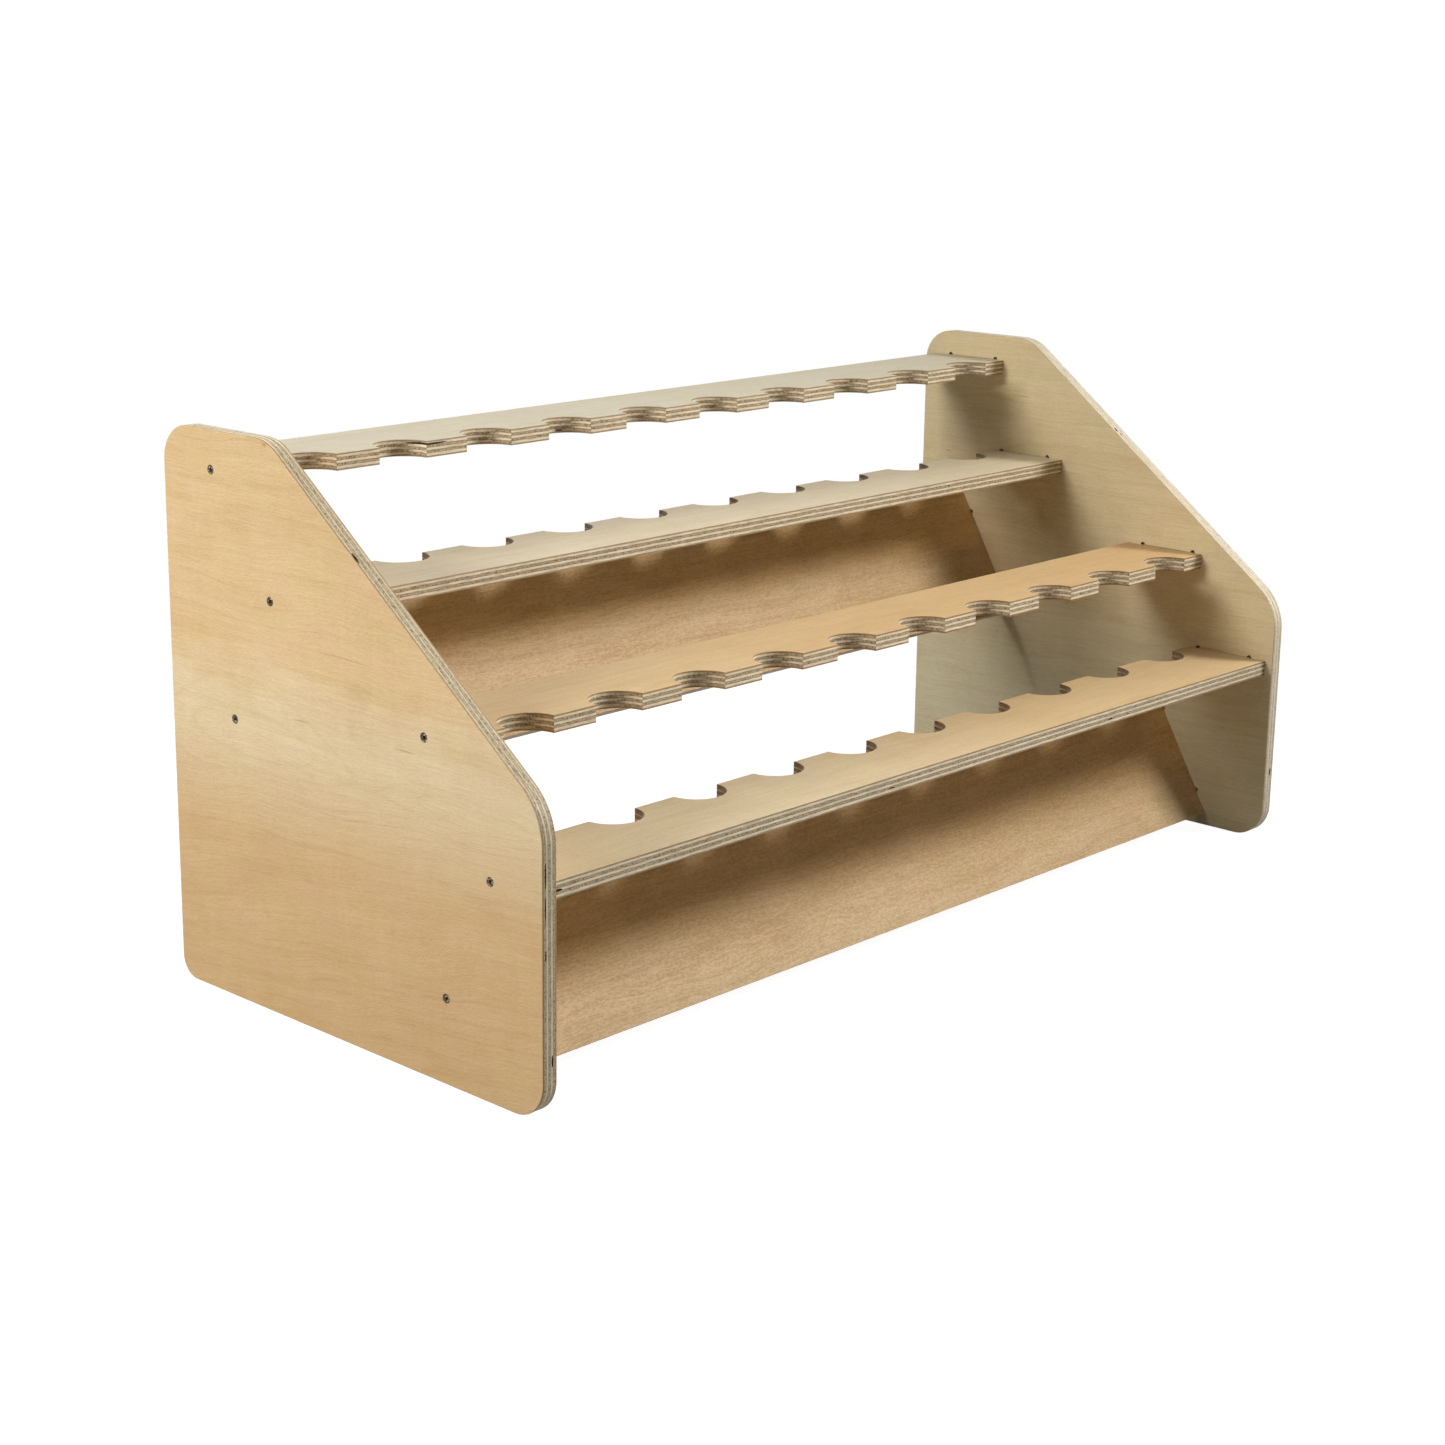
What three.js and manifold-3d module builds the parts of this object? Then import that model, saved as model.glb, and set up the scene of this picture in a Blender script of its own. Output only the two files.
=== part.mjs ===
// A two-tier desktop rack cut from sheet plywood. Two side panels with a sloping front edge carry
// four level slats with half-round notches and two slanted foot boards, all let into the panels on
// stub tenons and held by screws from outside.
// Lengths are in millimetres and angles in radians. X runs along the rack, +Y is the rear and +Z is
// up. The origin is on the ground, under the middle of the rack.

import * as THREE from 'three';
import { mergeVertices } from 'three/addons/utils/BufferGeometryUtils.js';
import Module from 'manifold-3d';

const wasm = await Module();
wasm.setup();

// The sheet and the clear length between the side panels.
const sheetThickness = 9;
const bayLength = 615;

// The side panels' outline before its corners are rounded.
const panelDepth = 280;
const panelHeight = 298.4;
const panelTopDepth = 85.3;
const panelFrontHeight = 150.5;
const rearBottomRadius = 11.5;
const rearTopRadius = 20;
const topFrontRadius = 27;
const frontUpperRadius = 34.5;
const frontBottomRadius = 19.6;

// The notched slats. All four are the same piece. The first and last notch stand at the same distance
// from the side panels and the others are spread evenly between them.
const slatWidth = 55.4;
const notchRadius = 16;
const notchCount = 10;
const notchEndDistance = 35.25;

// The foot boards, tilted from the level.
const boardWidth = 88;
const boardTilt = Math.PI / 3;

// A row is a rear slat, a front slat below it and a foot board. The notched edges of its two slats
// face each other and overlap a little in plan. The board's middle lies behind the line midway
// between them and below the rear slat's top face.
const notchedEdgeOverlap = 5.1;
const frontSlatDrop = 60.4;
const boardSetback = 9.2;
const boardDrop = 131.15;

// The upper row hangs from the panels' rear and top edges. The lower row is set by the panels' front
// edge and by the gap between the ground and its foot board.
const rearMargin = 9.3;
const topMargin = 15.7;
const frontMargin = 5;
const groundGap = 3.8;

// Stub tenons, and their blind mortises with round cutter reliefs in the corners.
const slatNotchShoulder = 6.8;
const slatPlainShoulder = 11.8;
const boardShoulder = 16;
const tenonLengthShare = 0.5;
const tenonClearance = 0.2;
const reliefRadius = 1.5;

// Countersunk wood screws with a cross recess, sunk a little below the panels' outer faces.
const screwLength = 25;
const screwRadius = 1.4;
const screwTipLength = 3;
const headRadius = 2.5;
const headHeight = 1.7;
const headSink = 0.2;
const recessSpanShare = 0.56;
const recessWidthShare = 0.16;
const recessDepthShare = 0.6;
const screwClearance = 0.3;

// How far every cutter runs past the face it enters.
const cutOverrun = 2;

// Straight pieces per curve. An arc gets twice its number.
const cornerDivisions = 6;
const notchDivisions = 9;
const reliefDivisions = 4;
const screwSides = 16;

const panelColor = 0xd8bb8c;
const slatColor = 0xdccaa6;
const boardColor = 0xc9a87c;
const screwColor = 0x9b9a94;

const quarterTurn = Math.PI / 2;
const tenonLength = sheetThickness * tenonLengthShare;
const slatTenonWidth = slatWidth - slatNotchShoulder - slatPlainShoulder;
const slatTenonMiddle = slatNotchShoulder + slatTenonWidth / 2;
const notchPitch = (bayLength - 2 * notchEndDistance) / (notchCount - 1);
const boardHalfRise = (boardWidth * Math.sin(boardTilt) + sheetThickness * Math.cos(boardTilt)) / 2;

// Turns a three.js geometry into a solid that can be cut.
function toSolid(geometry) {
  const bare = geometry.clone();
  bare.deleteAttribute('normal');
  bare.deleteAttribute('uv');
  const merged = mergeVertices(bare);
  const mesh = new wasm.Mesh({
    numProp: 3,
    vertProperties: new Float32Array(merged.attributes.position.array),
    triVerts: new Uint32Array(merged.index.array),
  });
  return new wasm.Manifold(mesh);
}

function toGeometry(solid) {
  const mesh = solid.getMesh();
  const geometry = new THREE.BufferGeometry();
  geometry.setAttribute('position', new THREE.BufferAttribute(mesh.vertProperties, 3));
  geometry.setIndex(new THREE.BufferAttribute(mesh.triVerts, 1));
  geometry.computeVertexNormals();
  return geometry;
}

function cutAll(solid, cutters) {
  return cutters.reduce((rest, cutter) => rest.subtract(cutter), solid);
}

function namedMesh(name, solid, color, metalness, roughness) {
  const material = new THREE.MeshStandardMaterial({ color, metalness, roughness });
  const mesh = new THREE.Mesh(toGeometry(solid), material);
  mesh.name = name;
  return mesh;
}

function woodMesh(name, solid, color) {
  return namedMesh(name, solid, color, 0, 0.7);
}

function forwardToY(forward) {
  return panelDepth / 2 - forward;
}

// A closed outline whose corners are rounded by arcs. The corners run counter-clockwise.
function roundedOutline(corners) {
  const shape = new THREE.Shape();
  corners.forEach((corner, index) => {
    const before = corners[(index + corners.length - 1) % corners.length].at;
    const after = corners[(index + 1) % corners.length].at;
    const back = before.clone().sub(corner.at).normalize();
    const ahead = after.clone().sub(corner.at).normalize();
    const half = Math.acos(back.dot(ahead)) / 2;
    const towardsCentre = back.clone().add(ahead).normalize();
    const centre = corner.at.clone().addScaledVector(towardsCentre, corner.radius / Math.sin(half));
    const from = Math.atan2(back.x, -back.y);
    const turn = Math.PI - 2 * half;
    shape.absarc(centre.x, centre.y, corner.radius, from, from + turn, false);
  });
  return shape;
}

// The side panel's profile, with its first axis pointing forward and its second up.
function panelOutline() {
  return roundedOutline([
    { at: new THREE.Vector2(0, 0), radius: rearBottomRadius },
    { at: new THREE.Vector2(panelDepth, 0), radius: frontBottomRadius },
    { at: new THREE.Vector2(panelDepth, panelFrontHeight), radius: frontUpperRadius },
    { at: new THREE.Vector2(panelTopDepth, panelHeight), radius: topFrontRadius },
    { at: new THREE.Vector2(0, panelHeight), radius: rearTopRadius },
  ]);
}

// A rectangle with a round relief centred on each corner.
function mortiseOutline(width, height) {
  const shape = new THREE.Shape();
  const corners = [[1, -1], [1, 1], [-1, 1], [-1, -1]];
  corners.forEach(([right, up], index) => {
    const start = Math.PI + index * quarterTurn;
    const x = (right * width) / 2;
    const y = (up * height) / 2;
    shape.absarc(x, y, reliefRadius, start, start + 3 * quarterTurn, false);
  });
  return shape;
}

// Extrudes a side profile from one place along X to a higher one, measured from the inner face.
function profileSolid(geometry, lowX, highX) {
  const sideFrame = new THREE.Matrix4().makeBasis(
    new THREE.Vector3(0, -1, 0),
    new THREE.Vector3(0, 0, 1),
    new THREE.Vector3(-1, 0, 0),
  );
  geometry.scale(1, 1, highX - lowX);
  geometry.applyMatrix4(sideFrame);
  geometry.translate(highX, forwardToY(0), 0);
  return toSolid(geometry);
}

function unitExtrusion(shape, curveSegments) {
  return new THREE.ExtrudeGeometry(shape, { depth: 1, bevelEnabled: false, curveSegments });
}

// The outline of a slat or board seen from above, drawn from its tenons' middle line.
function crosspieceOutline(piece) {
  const tenonMiddle = piece.shoulder + piece.tenonWidth / 2;
  const notched = -tenonMiddle;
  const plain = piece.width - tenonMiddle;
  const tenonHalf = piece.tenonWidth / 2;
  const end = bayLength / 2;
  const tip = end + tenonLength;
  const shape = new THREE.Shape();
  shape.moveTo(-end, notched);
  for (let index = 0; index < piece.notches; index += 1) {
    const centre = notchEndDistance - end + index * notchPitch;
    shape.absarc(centre, notched, notchRadius, Math.PI, 0, true);
  }
  shape.lineTo(end, notched);
  shape.lineTo(end, -tenonHalf);
  shape.lineTo(tip, -tenonHalf);
  shape.lineTo(tip, tenonHalf);
  shape.lineTo(end, tenonHalf);
  shape.lineTo(end, plain);
  shape.lineTo(-end, plain);
  shape.lineTo(-end, tenonHalf);
  shape.lineTo(-tip, tenonHalf);
  shape.lineTo(-tip, -tenonHalf);
  shape.lineTo(-end, -tenonHalf);
  return shape;
}

// The hole for a screw in the end of a slat or board. It ends just past the screw's tip.
function pilotHole(outward) {
  const tenonEnd = bayLength / 2 + tenonLength;
  const screwTip = bayLength / 2 + sheetThickness - headSink - screwLength;
  const holeEnd = screwTip - screwClearance;
  const length = tenonEnd + cutOverrun - holeEnd;
  const radius = screwRadius + screwClearance;
  const hole = new THREE.CylinderGeometry(radius, radius, length, screwSides);
  hole.rotateZ(quarterTurn);
  hole.translate(outward * (holeEnd + length / 2), 0, 0);
  return toSolid(hole);
}

function crosspiece(piece) {
  const outline = unitExtrusion(crosspieceOutline(piece), notchDivisions);
  outline.scale(1, 1, sheetThickness);
  outline.translate(0, 0, -sheetThickness / 2);
  const solid = cutAll(toSolid(outline), [pilotHole(-1), pilotHole(1)]);
  const mesh = woodMesh(piece.name, solid, piece.color);
  mesh.position.set(0, forwardToY(piece.forward), piece.height);
  mesh.rotation.set(piece.tilt, 0, piece.turn);
  return mesh;
}

// The blind mortise of one slat or board in a side panel.
function mortise(piece, outward) {
  const width = piece.tenonWidth + 2 * tenonClearance;
  const height = sheetThickness + 2 * tenonClearance;
  const depth = tenonLength + tenonClearance;
  const outline = unitExtrusion(mortiseOutline(width, height), reliefDivisions);
  outline.rotateZ(-piece.tilt);
  outline.translate(piece.forward, piece.height, 0);
  const ends = [-outward * cutOverrun, outward * depth];
  return profileSolid(outline, Math.min(...ends), Math.max(...ends));
}

// A profile of radii and heights turned about the second axis.
function turned(profile) {
  const points = profile.map(([radius, height]) => new THREE.Vector2(radius, height));
  return new THREE.LatheGeometry(points, screwSides);
}

// The clearance hole and countersink of a screw in a side panel. Heights are measured outward from
// the panel's outer face.
function screwHole(piece, outward) {
  const flare = (headRadius - screwRadius) / headHeight;
  const shank = screwRadius + screwClearance;
  const faceRadius = headRadius + screwClearance + flare * headSink;
  const hole = turned([
    [0, -sheetThickness],
    [shank, -sheetThickness],
    [shank, -headSink - headHeight],
    [faceRadius, 0],
    [faceRadius, cutOverrun],
    [0, cutOverrun],
  ]);
  hole.rotateZ(-outward * quarterTurn);
  hole.translate(outward * sheetThickness, forwardToY(piece.forward), piece.height);
  return toSolid(hole);
}

function sidePanel(name, outward, pieces) {
  const outline = unitExtrusion(panelOutline(), cornerDivisions);
  const ends = [0, outward * sheetThickness];
  const board = profileSolid(outline, Math.min(...ends), Math.max(...ends));
  const cutters = pieces.flatMap((piece) => [mortise(piece, outward), screwHole(piece, outward)]);
  return woodMesh(name, cutAll(board, cutters), panelColor);
}

// One of the two slots of the cross recess in a screw head.
function recessSlot(turn) {
  const diameter = 2 * headRadius;
  const depth = headHeight * recessDepthShare;
  const span = diameter * recessSpanShare;
  const slot = new THREE.BoxGeometry(span, 2 * depth, diameter * recessWidthShare);
  slot.rotateY(turn);
  slot.translate(0, -headSink, 0);
  return toSolid(slot);
}

// A screw standing on its tip, with its heights measured from the panel's outer face.
function screwSolid() {
  const body = turned([
    [0, -headSink - screwLength],
    [screwRadius, -headSink - screwLength + screwTipLength],
    [screwRadius, -headSink - headHeight],
    [headRadius, -headSink],
    [0, -headSink],
  ]);
  return cutAll(toSolid(body), [recessSlot(0), recessSlot(quarterTurn)]);
}

function screw(name, piece, outward, spin) {
  const mesh = namedMesh(name, screwSolid(), screwColor, 1, 0.4);
  mesh.position.set(outward * sheetThickness, forwardToY(piece.forward), piece.height);
  mesh.rotation.set(spin, 0, -outward * quarterTurn);
  return mesh;
}

// Where a row's three pieces stand, each given by the middle of its tenons.
function rowPieces(rowName, forward, top) {
  const slat = {
    width: slatWidth,
    shoulder: slatNotchShoulder,
    tenonWidth: slatTenonWidth,
    notches: notchCount,
    tilt: 0,
    color: slatColor,
  };
  const rearSlat = {
    ...slat,
    name: `${rowName}_rear_slat`,
    forward: forward + notchedEdgeOverlap / 2 - slatTenonMiddle,
    height: top - sheetThickness / 2,
    turn: 0,
  };
  const frontSlat = {
    ...slat,
    name: `${rowName}_front_slat`,
    forward: forward - notchedEdgeOverlap / 2 + slatTenonMiddle,
    height: top - frontSlatDrop - sheetThickness / 2,
    turn: Math.PI,
  };
  const footBoard = {
    name: `${rowName}_foot_board`,
    width: boardWidth,
    shoulder: boardShoulder,
    tenonWidth: boardWidth - 2 * boardShoulder,
    notches: 0,
    tilt: boardTilt,
    turn: 0,
    color: boardColor,
    forward: forward - boardSetback,
    height: top - boardDrop,
  };
  return [rearSlat, frontSlat, footBoard];
}

// One side panel with the screws that enter it, placed at the panel's inner face.
function side(sideName, outward, pieces) {
  const group = new THREE.Group();
  group.position.x = (outward * bayLength) / 2;
  group.add(sidePanel(`${sideName}_side_panel`, outward, pieces));
  pieces.forEach((piece, index) => {
    group.add(screw(`${piece.name}_${sideName}_screw`, piece, outward, index));
  });
  return group;
}

function rack() {
  const edgeToRow = slatWidth - notchedEdgeOverlap / 2;
  const lowerTop = groundGap + boardHalfRise + boardDrop;
  const pieces = [
    ...rowPieces('upper', rearMargin + edgeToRow, panelHeight - topMargin),
    ...rowPieces('lower', panelDepth - frontMargin - edgeToRow, lowerTop),
  ];
  const group = new THREE.Group();
  group.add(side('left', -1, pieces));
  group.add(side('right', 1, pieces));
  pieces.forEach((piece) => group.add(crosspiece(piece)));
  return group;
}

export default rack();
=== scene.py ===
# Dresses a two-tier plywood paint rack: figured veneer faces over crossed plies, softened arrises,
# mortises and countersinks cut into the side panels, cross-recess screws, and a plain studio.
# It is laid out as an add-on and run as a script. Lengths are in metres, but the materials measure
# in millimetres, and so do the sizes of what only they show.
import math
from collections import namedtuple

import bmesh
import bpy
from bpy.props import FloatProperty, FloatVectorProperty, IntProperty, PointerProperty
from mathutils import Euler, Matrix, Vector


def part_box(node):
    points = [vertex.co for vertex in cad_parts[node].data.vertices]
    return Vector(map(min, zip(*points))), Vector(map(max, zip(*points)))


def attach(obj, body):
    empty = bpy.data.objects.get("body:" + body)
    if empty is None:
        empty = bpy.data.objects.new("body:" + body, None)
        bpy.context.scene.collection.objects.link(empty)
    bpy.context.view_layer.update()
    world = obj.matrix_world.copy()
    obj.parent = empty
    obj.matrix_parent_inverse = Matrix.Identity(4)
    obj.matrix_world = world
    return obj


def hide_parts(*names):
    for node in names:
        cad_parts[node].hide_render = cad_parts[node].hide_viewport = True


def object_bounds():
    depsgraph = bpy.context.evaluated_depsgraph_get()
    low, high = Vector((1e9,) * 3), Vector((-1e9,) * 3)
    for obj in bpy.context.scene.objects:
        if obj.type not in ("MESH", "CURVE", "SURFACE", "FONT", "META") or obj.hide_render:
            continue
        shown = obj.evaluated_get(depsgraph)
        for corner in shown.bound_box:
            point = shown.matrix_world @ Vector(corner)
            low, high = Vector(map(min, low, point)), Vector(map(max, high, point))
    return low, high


bl_info = {
    "name": "Plywood Paint Rack",
    "version": (1, 0, 0),
    "blender": (4, 5, 0),
    "location": "3D View > Sidebar > Rack",
    "description": "Builds the boards, screws and studio of a two-tier plywood rack",
    "category": "Object",
}

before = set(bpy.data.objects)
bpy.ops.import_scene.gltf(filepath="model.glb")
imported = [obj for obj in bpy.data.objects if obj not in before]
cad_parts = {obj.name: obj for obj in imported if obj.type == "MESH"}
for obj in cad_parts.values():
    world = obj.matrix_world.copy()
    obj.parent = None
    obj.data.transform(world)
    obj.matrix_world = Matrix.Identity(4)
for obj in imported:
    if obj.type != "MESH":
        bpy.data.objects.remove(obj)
CAD_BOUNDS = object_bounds()

MM = 0.001
QUARTER_TURN = math.pi / 2
BODY = "root"
ROWS = ("upper", "lower")
SIDES = {"left": -1, "right": 1}
CROSSPIECES = [f"{row}_{kind}" for row in ROWS for kind in ("rear_slat", "front_slat", "foot_board")]

# How fine arcs and turned parts are, which edges are softened, and which are shaded sharp.
ARC_STEP = math.radians(5)
LEAST_ARC_STEPS = 3
ARRIS_SEGMENTS = 2
SCREW_SEGMENTS = 40
HOLE_SEGMENTS = 32
CORNER_ANGLE = math.radians(30)
SHARP_ANGLE = math.radians(20)


def millimetres(name, description, size):
    """A length property whose default is given in millimetres."""
    return FloatProperty(name=name, description=description, default=size * MM, unit="LENGTH")


def degrees(name, description, angle):
    """An angle property whose default is given in degrees."""
    return FloatProperty(name=name, description=description, default=math.radians(angle), unit="ROTATION")


def number(name, description, default):
    return FloatProperty(name=name, description=description, default=default)


def power(name, description, watts):
    return FloatProperty(name=name, description=description, default=watts, min=0)


def linear(channel):
    """One colour channel from 0 to 255, as light."""
    share = channel / 255
    return share / 12.92 if share <= 0.04045 else ((share + 0.055) / 1.055) ** 2.4


def colour(name, description, *channels):
    """A colour property whose default is given from 0 to 255."""
    return FloatVectorProperty(
        name=name,
        description=description,
        default=tuple(linear(channel) for channel in channels),
        subtype="COLOR",
        min=0,
        max=1,
    )


class RackSizes(bpy.types.PropertyGroup):
    """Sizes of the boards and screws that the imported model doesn't give as a box"""

    top_depth: millimetres("Top depth", "Level top edge of a side panel, to the slope", 85.3)
    front_height: millimetres("Front height", "Upright front edge of a side panel, to the slope", 150.5)
    rear_bottom_radius: millimetres("Rear bottom radius", "Corner of a side panel", 11.5)
    front_bottom_radius: millimetres("Front bottom radius", "Corner of a side panel", 19.6)
    front_upper_radius: millimetres("Front upper radius", "Corner under the slope", 34.5)
    top_front_radius: millimetres("Top front radius", "Corner above the slope", 27)
    rear_top_radius: millimetres("Rear top radius", "Corner of a side panel", 20)
    panel_arris: millimetres("Panel arris", "Softening of the panels' sanded edges", 0.45)
    board_arris: millimetres("Board arris", "Softening of the slats' and boards' edges", 0.25)
    notch_radius: millimetres("Notch radius", "Half-round notches of the slats", 16)
    notch_count: IntProperty(name="Notches", description="Notches in each slat", default=10, min=1)
    notch_end: millimetres("First notch", "From a side panel to the nearest notch's middle", 35.25)
    slat_notch_shoulder: millimetres("Notched shoulder", "From the notched edge to the tenon", 6.8)
    slat_plain_shoulder: millimetres("Plain shoulder", "From the plain edge to the tenon", 11.8)
    board_width: millimetres("Foot board width", "Across the slanted foot boards", 88)
    board_shoulder: millimetres("Foot board shoulder", "From a long edge to the tenon", 16)
    tenon_clearance: millimetres("Tenon clearance", "Gap round a tenon in its mortise", 0.2)
    relief_radius: millimetres("Relief radius", "Round cutter reliefs in the mortises' corners", 1.5)
    screw_radius: millimetres("Screw radius", "Over the thread", 1.4)
    screw_core: millimetres("Screw core", "Radius under the thread", 1.0)
    screw_tip: millimetres("Screw tip", "Length of the pointed end", 3)
    thread_pitch: millimetres("Thread pitch", "Step of the thread", 1.35)
    head_radius: millimetres("Head radius", "Countersunk screw head", 2.35)
    head_height: millimetres("Head height", "Countersunk screw head", 1.7)
    head_sink: millimetres("Head sink", "How far a head lies below the panel", 0.2)
    screw_clearance: millimetres("Screw clearance", "Gap round a screw in its hole", 0.3)


class RackColours(bpy.types.PropertyGroup):
    """Colours of the wood and the steel"""

    # Panel tones darken towards the foot partly as painted shade.
    panel_crown: colour("Panel crown", "Veneer at the very top of the side panels", 221, 191, 144)
    panel_top: colour("Panel top", "Veneer in the upper half of the side panels", 229, 198, 151)
    panel_band: colour("Panel band", "Paler band across the side panels", 232, 210, 170)
    panel_foot: colour("Panel foot", "Veneer at the foot of the side panels", 218, 184, 136)
    inner_veneer: colour("Inner veneer", "Inner face of the right side panel", 226, 208, 167)
    inner_foot: colour("Inner foot", "Lower part of the right side panel", 226, 216, 182)
    # Slat tones are partly painted light: each slat is paler towards the rack's left side.
    upper_rear_near: colour("Upper rear, left", "Left end of the upper rear slat", 212, 204, 182)
    upper_rear_far: colour("Upper rear, right", "Right end of the upper rear slat", 205, 196, 172)
    upper_front_near: colour("Upper front, left", "Left end of the upper front slat", 225, 212, 185)
    upper_front_mid: colour("Upper front, middle", "Middle of the upper front slat", 213, 200, 173)
    upper_front_far: colour("Upper front, right", "Right end of the upper front slat", 210, 197, 167)
    lower_rear_near: colour("Lower rear, left", "Left end of the lower rear slat", 214, 188, 146)
    lower_rear_far: colour("Lower rear, right", "Rest of the lower rear slat", 201, 169, 123)
    lower_front_near: colour("Lower front, left", "Left half of the lower front slat", 214, 197, 164)
    lower_front_far: colour("Lower front, right", "Right half of the lower front slat", 206, 179, 136)
    # Board tones are partly painted shade: warmer and more saturated towards the upper edges under the
    # slats.
    upper_board_foot: colour("Upper board foot", "Lower part of the upper foot board", 200, 169, 124)
    upper_board_head: colour("Upper board head", "Upper part of the upper foot board", 214, 176, 120)
    lower_board_foot: colour("Lower board foot", "Lower edge of the lower foot board", 210, 182, 140)
    lower_board_middle: colour("Lower board middle", "Middle of the lower foot board", 207, 175, 130)
    lower_board_head: colour("Lower board head", "Upper part of the lower foot board", 216, 178, 122)
    side_grain: colour("Side grain", "Slats' plies cut along their fibres", 242, 225, 193)
    end_grain: colour("End grain", "Slats' plies cut across their fibres", 190, 170, 137)
    panel_side_grain: colour("Panel side grain", "Panels' plies cut along", 248, 232, 200)
    panel_end_grain: colour("Panel end grain", "Panels' plies cut across", 213, 192, 154)
    glue_line: colour("Glue line", "Between the plies", 92, 70, 46)
    # Scorch on the notches' walls, which also paints the shade deep in the notches.
    burn: colour("Burn", "Torn and scorched walls of the notches", 98, 76, 50)
    streak: colour("Streak", "Mineral streaks and specks in the veneer", 168, 112, 62)
    steel: colour("Steel", "Screw heads", 88, 72, 56)
    # The glint colour is a painted highlight on the screw heads.
    painted_glint: colour("Glint", "Rubbed spots on the screw heads", 206, 196, 180)
    # The recess colour is painted shade in the screws' cross recesses.
    recess: colour("Recess", "Inside of the screws' cross recess", 20, 16, 13)


class RackStage(bpy.types.PropertyGroup):
    """Camera and light"""

    camera_place: FloatVectorProperty(
        name="Camera place",
        description="Where the camera stands",
        default=(-1.0816, -0.9507, 0.4945),
        subtype="TRANSLATION",
        unit="LENGTH",
    )
    camera_tilt: degrees("Camera tilt", "Up from looking straight down", 75.754)
    camera_roll: degrees("Camera roll", "Lean to one side", -1.882)
    camera_pan: degrees("Camera pan", "Round from looking along +Y", -44.166)
    lens: number("Lens", "Focal length in millimetres", 64.45)
    shift_right: number("Shift right", "Share of the frame", 0.0414)
    shift_up: number("Shift up", "Share of the frame", -0.0268)
    key_power: power("Key", "Watts of the softbox at the front right", 4.95)
    side_power: power("Side", "Watts of the softbox at the left and behind", 16.4)
    top_power: power("Top", "Watts of the softbox overhead", 5.35)
    fill: power("Fill", "Strength of the even light all round", 0.01)


def shade(name):
    """One of the rack's colours by its property's name."""
    return tuple(getattr(bpy.context.scene.rack_colours, name))


def sheet_frame(along, across, origin):
    """From a sheet's own axes, along and across its face grain and up through it, to the rack's."""
    turn = Matrix((along, across, along.cross(across))).transposed()
    return Matrix.Translation(origin) @ turn.to_4x4()


def middle(node):
    low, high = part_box(node)
    return (low + high) / 2


def sheet_thickness():
    low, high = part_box("left_side_panel")
    return high.x - low.x


def inner_face(side):
    """Where a side panel's inner face lies along X."""
    low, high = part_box(f"{side}_side_panel")
    return high.x if SIDES[side] < 0 else low.x


def outer_face(side):
    low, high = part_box(f"{side}_side_panel")
    return low.x if SIDES[side] < 0 else high.x


def panel_sheet(side):
    """A side panel's frame: forward from its rear edge, up from the ground, out to the left."""
    low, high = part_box(f"{side}_side_panel")
    origin = Vector(((low.x + high.x) / 2, high.y, low.z))
    return sheet_frame(Vector((0, -1, 0)), Vector((0, 0, 1)), origin)


def slat_sheet(node):
    """A slat's frame: along the rack from its middle, and back from its notched edge."""
    low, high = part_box(node)
    facing = 1 if "rear" in node else -1
    notched = low.y if facing > 0 else high.y
    origin = Vector((0, notched, (low.z + high.z) / 2))
    return sheet_frame(Vector((facing, 0, 0)), Vector((0, facing, 0)), origin)


def board_sheet(node):
    """A foot board's frame: along the rack from its middle, and up the slope that its box gives."""
    low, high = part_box(node)
    width, thickness = bpy.context.scene.rack_sizes.board_width, sheet_thickness()
    tilt = math.asin((high.z - low.z) / math.hypot(width, thickness)) - math.atan2(thickness, width)
    slope = Vector((0, math.cos(tilt), math.sin(tilt)))
    return sheet_frame(Vector((1, 0, 0)), slope, middle(node))


Station = namedtuple("Station", "at centre turn", defaults=(None, 0.0))


def draw_outline(bm, stations):
    """Draws a closed line through stations. A station with a centre is spun into an arc."""
    ends = []
    for station in stations:
        first = last = bm.verts.new((*station.at, 0))
        if station.centre is not None:
            made = bmesh.ops.spin(
                bm,
                geom=[first],
                cent=(*station.centre, 0),
                axis=(0, 0, 1),
                angle=station.turn,
                steps=max(LEAST_ARC_STEPS, round(abs(station.turn) / ARC_STEP)),
            )
            last = made["geom_last"][0]
        ends.append((first, last))
    for (_, before), (after, _) in zip(ends, ends[1:] + ends[:1]):
        bm.edges.new((before, after))


def extrude_outline(bm, low, high):
    """Fills the drawn outline at one height and extrudes it to another."""
    bmesh.ops.translate(bm, verts=bm.verts[:], vec=(0, 0, low))
    filled = bmesh.ops.edgeloop_fill(bm, edges=bm.edges[:])
    grown = bmesh.ops.extrude_face_region(bm, geom=filled["faces"])
    moved = [part for part in grown["geom"] if isinstance(part, bmesh.types.BMVert)]
    bmesh.ops.translate(bm, verts=moved, vec=(0, 0, high - low))
    bmesh.ops.recalc_face_normals(bm, faces=bm.faces[:])


def soften(bm, width):
    """Rounds every sharp edge a little, as sanding does."""
    sharp = [edge for edge in bm.edges if edge.calc_face_angle(0) > CORNER_ANGLE]
    bmesh.ops.bevel(
        bm, geom=sharp, offset=width, segments=ARRIS_SEGMENTS, profile=0.5, affect="EDGES", material=-1
    )


def rounded(corners):
    """Stations of an outline, counter-clockwise, whose corners are rounded to their radii."""
    stations = []
    for index, (corner, radius) in enumerate(corners):
        back = (corners[index - 1][0] - corner).normalized()
        ahead = (corners[(index + 1) % len(corners)][0] - corner).normalized()
        half = back.angle(ahead) / 2
        centre = corner + (back + ahead).normalized() * radius / math.sin(half)
        start = corner + back * radius / math.tan(half)
        stations.append(Station(start, centre, math.pi - 2 * half))
    return stations


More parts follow.
